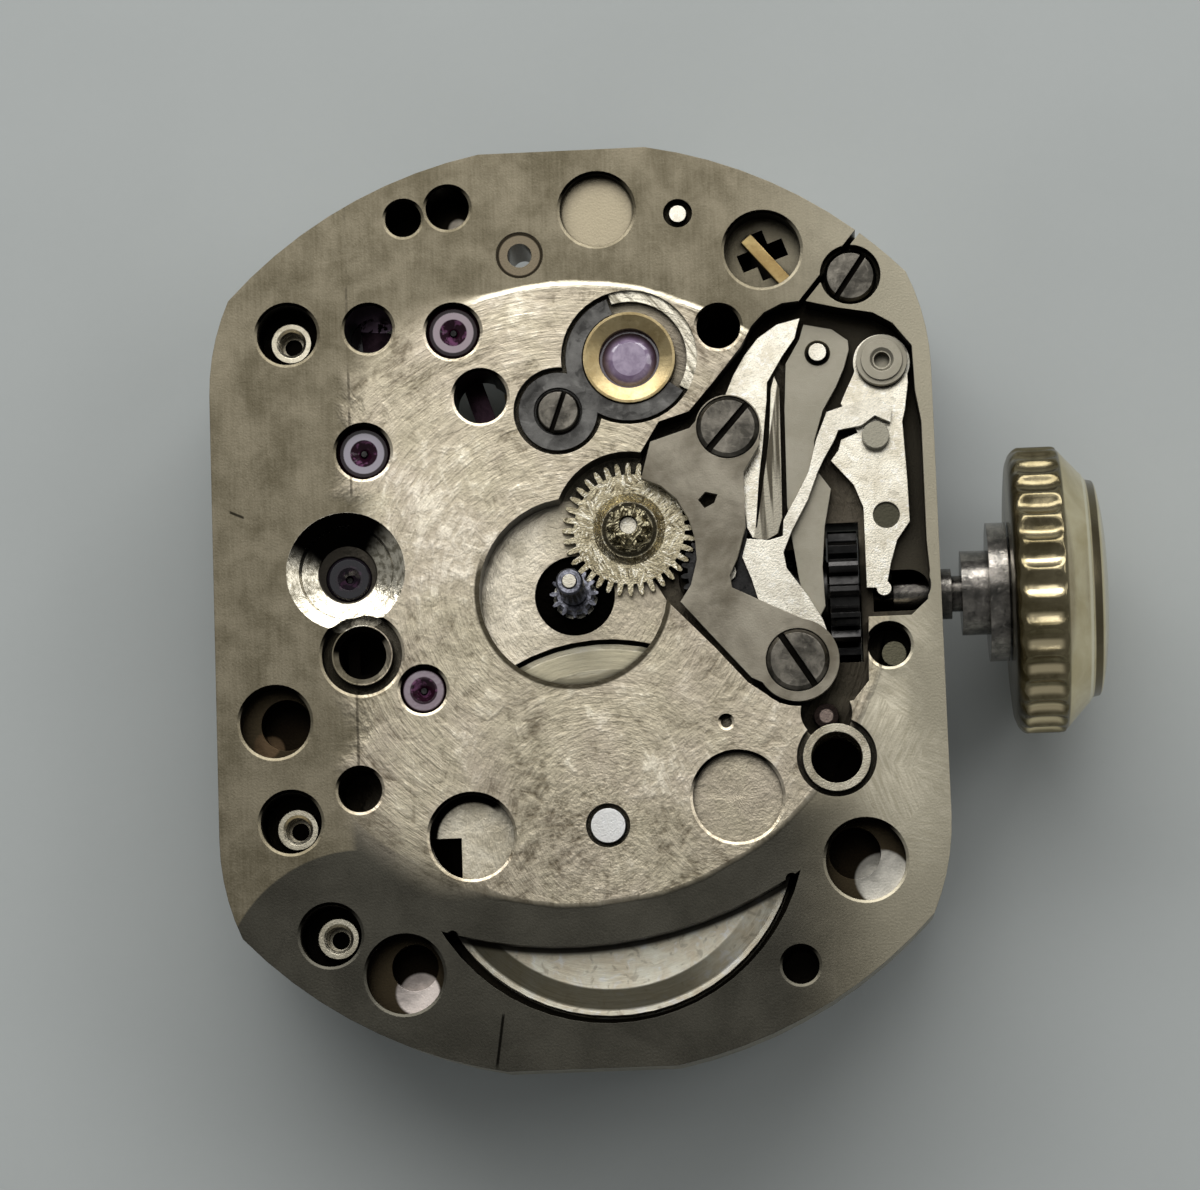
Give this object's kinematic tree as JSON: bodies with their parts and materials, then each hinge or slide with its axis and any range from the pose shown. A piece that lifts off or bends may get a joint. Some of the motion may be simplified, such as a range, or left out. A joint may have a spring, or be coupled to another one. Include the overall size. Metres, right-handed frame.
{
  "type": "mechanical watch movement",
  "caption": "Small tonneau-shaped hand-wound watch movement with open dial side, keyless works, going train, balance and fluted crown.",
  "frame": {"origin": "axis of the hands, at the dial face of the main plate", "axes": "+Z leaves the dial face along the axis of the hands, +X points to the crown, +Y to twelve o'clock"},
  "size_m": [0.0146, 0.0152, 0.0049],
  "materials": {
    "nickel": "satin nickel plating",
    "bridge_nickel": "satin nickel plating",
    "bush_nickel": "turned nickel",
    "drum_brass": "pale turned brass",
    "gilt_brass": "gilt",
    "polished_steel": "polished",
    "grained_steel": "straight grained",
    "dark_steel": "blackened and polished",
    "blue_steel": "blued",
    "gold_plate": "polished gold plating",
    "ruby": "polished synthetic ruby",
    "clear_ruby": "polished pale ruby"
  },
  "bodies": {
    "movement": {"main_plate": "nickel", "train_jewels": "ruby", "cap_jewels": "clear_ruby", "lower_endpiece": "dark_steel", "chaton": "gilt_brass", "bushes_and_tubes": "bush_nickel", "posts_and_pins": "polished_steel", "corner_screw": "dark_steel", "minute_work_cover": "nickel", "cover_screws": "dark_steel", "setting_lever_spring": "polished_steel", "setting_lever_axle": "polished_steel", "yoke_spring": "polished_steel", "crown_wheel_core": "polished_steel", "click_spring": "polished_steel", "pallet_cock": "bridge_nickel", "hairspring": "blue_steel", "hairspring_stud": "polished_steel", "balance_cock": "bridge_nickel", "upper_endpiece": "polished_steel", "train_bridge": "bridge_nickel", "barrel_bridge": "bridge_nickel", "bridge_screws": "polished_steel", "small_screws": "dark_steel"},
    "winding_pinion": {"winding_pinion": "dark_steel"},
    "stem": {"winding_stem": "grained_steel", "crown": "gold_plate", "crown_tube": "polished_steel"},
    "sliding_pinion": {"sliding_pinion": "dark_steel"},
    "setting_lever": {"setting_lever": "polished_steel"},
    "yoke": {"yoke": "grained_steel"},
    "crown_wheel": {"crown_wheel": "polished_steel"},
    "ratchet": {"barrel_arbor": "polished_steel", "ratchet_wheel": "polished_steel", "ratchet_screw": "polished_steel"},
    "centre": {"centre_arbor": "polished_steel", "centre_wheel": "gilt_brass", "cannon_pinion": "dark_steel"},
    "barrel": {"barrel": "drum_brass", "barrel_cover": "drum_brass", "mainspring": "blue_steel"},
    "third": {"third_arbor": "polished_steel", "third_wheel": "gilt_brass"},
    "fourth": {"fourth_arbor": "polished_steel", "fourth_wheel": "gilt_brass"},
    "escape": {"escape_arbor": "polished_steel", "escape_wheel": "polished_steel"},
    "minute_wheel": {"minute_wheel": "gilt_brass"},
    "setting_wheel": {"setting_wheel": "grained_steel"},
    "pallets": {"pallet_fork": "polished_steel", "pallet_stones": "ruby", "pallet_arbor": "polished_steel"},
    "balance": {"balance_wheel": "gilt_brass", "balance_staff": "polished_steel", "roller": "polished_steel", "impulse_pin": "ruby", "collet": "gilt_brass"},
    "regulator": {"regulator": "polished_steel"},
    "click": {"click": "polished_steel"}
  },
  "joints": [
    {"name": "crown_turn", "type": "hinge", "parent": "movement", "child": "winding_pinion", "pos_m": [0.00443, -0.00012, -0.0013], "axis": [1, 0, 0], "continuous": true},
    {"name": "stem_pull", "type": "slide", "parent": "winding_pinion", "child": "stem", "axis": [1, 0, 0], "range_m": [0, 0.00032]},
    {"name": "sliding_pinion_move", "type": "slide", "parent": "stem", "child": "sliding_pinion", "axis": [1, 0, 0], "range_m": [-0.00062, 0]},
    {"name": "setting_lever_turn", "type": "hinge", "parent": "movement", "child": "setting_lever", "pos_m": [0.0052, 0.00366, -0.0005], "axis": [0, 0, 1], "range_deg": [0, 4.85]},
    {"name": "yoke_turn", "type": "hinge", "parent": "movement", "child": "yoke", "pos_m": [0.00415, 0.00386, -0.0005], "axis": [0, 0, 1], "range_deg": [-4.35, 0], "deforming": ["yoke_spring"]},
    {"name": "crown_wheel_turn", "type": "hinge", "parent": "movement", "child": "crown_wheel", "pos_m": [0.0032, -0.0011, -0.0024], "axis": [0, 0, 1], "continuous": true},
    {"name": "ratchet_turn", "type": "hinge", "parent": "movement", "child": "ratchet", "pos_m": [0.00044, -0.00386, -0.0024], "axis": [0, 0, 1], "continuous": true},
    {"name": "centre_turn", "type": "hinge", "parent": "movement", "child": "centre", "pos_m": [0, 0, -0.001], "axis": [0, 0, 1], "continuous": true},
    {"name": "barrel_turn", "type": "hinge", "parent": "movement", "child": "barrel", "pos_m": [0.00044, -0.00386, -0.0011], "axis": [0, 0, 1], "continuous": true},
    {"name": "third_turn", "type": "hinge", "parent": "movement", "child": "third", "pos_m": [-0.0025, -0.00153, -0.0015], "axis": [0, 0, 1], "continuous": true},
    {"name": "fourth_turn", "type": "hinge", "parent": "movement", "child": "fourth", "pos_m": [-0.0037, 0.0004, -0.0012], "axis": [0, 0, 1], "continuous": true},
    {"name": "escape_turn", "type": "hinge", "parent": "movement", "child": "escape", "pos_m": [-0.00338, 0.00245, -0.0012], "axis": [0, 0, 1], "continuous": true},
    {"name": "minute_wheel_turn", "type": "hinge", "parent": "movement", "child": "minute_wheel", "pos_m": [0.00094, 0.00105, -0.0005], "axis": [0, 0, 1], "continuous": true},
    {"name": "setting_wheel_turn", "type": "hinge", "parent": "movement", "child": "setting_wheel", "pos_m": [0.00252, 0.00027, -0.00055], "axis": [0, 0, 1], "continuous": true},
    {"name": "pallet_swing", "type": "hinge", "parent": "movement", "child": "pallets", "pos_m": [-0.00184, 0.0044, -0.0012], "axis": [0, 0, 1], "range_deg": [-5, 5]},
    {"name": "balance_swing", "type": "hinge", "parent": "movement", "child": "balance", "pos_m": [0.00105, 0.00385, -0.0019], "axis": [0, 0, 1], "range_deg": [-270, 270], "deforming": ["hairspring"]},
    {"name": "regulator_turn", "type": "hinge", "parent": "movement", "child": "regulator", "pos_m": [0.00105, 0.00385, -0.0029], "axis": [0, 0, 1], "range_deg": [-12, 12]},
    {"name": "click_turn", "type": "hinge", "parent": "movement", "child": "click", "pos_m": [-0.00211, -0.00561, -0.0024], "axis": [0, 0, 1], "range_deg": [-4, 0]}
  ],
  "couplings": [
    {"joint": "sliding_pinion_move", "follows": "stem_pull", "ratio": -1.9375},
    {"joint": "setting_lever_turn", "follows": "stem_pull", "rad_per_m": 264.53},
    {"joint": "yoke_turn", "follows": "stem_pull", "rad_per_m": -237.26},
    {"joint": "crown_wheel_turn", "follows": "crown_turn", "ratio": 0.66667},
    {"joint": "ratchet_turn", "follows": "crown_turn", "ratio": -0.44444},
    {"joint": "barrel_turn", "follows": "centre_turn", "ratio": -0.13889},
    {"joint": "third_turn", "follows": "centre_turn", "ratio": -8},
    {"joint": "fourth_turn", "follows": "centre_turn", "ratio": 60},
    {"joint": "escape_turn", "follows": "centre_turn", "ratio": -600},
    {"joint": "minute_wheel_turn", "follows": "centre_turn", "ratio": -0.33333},
    {"joint": "setting_wheel_turn", "follows": "centre_turn", "ratio": 0.5}
  ]
}
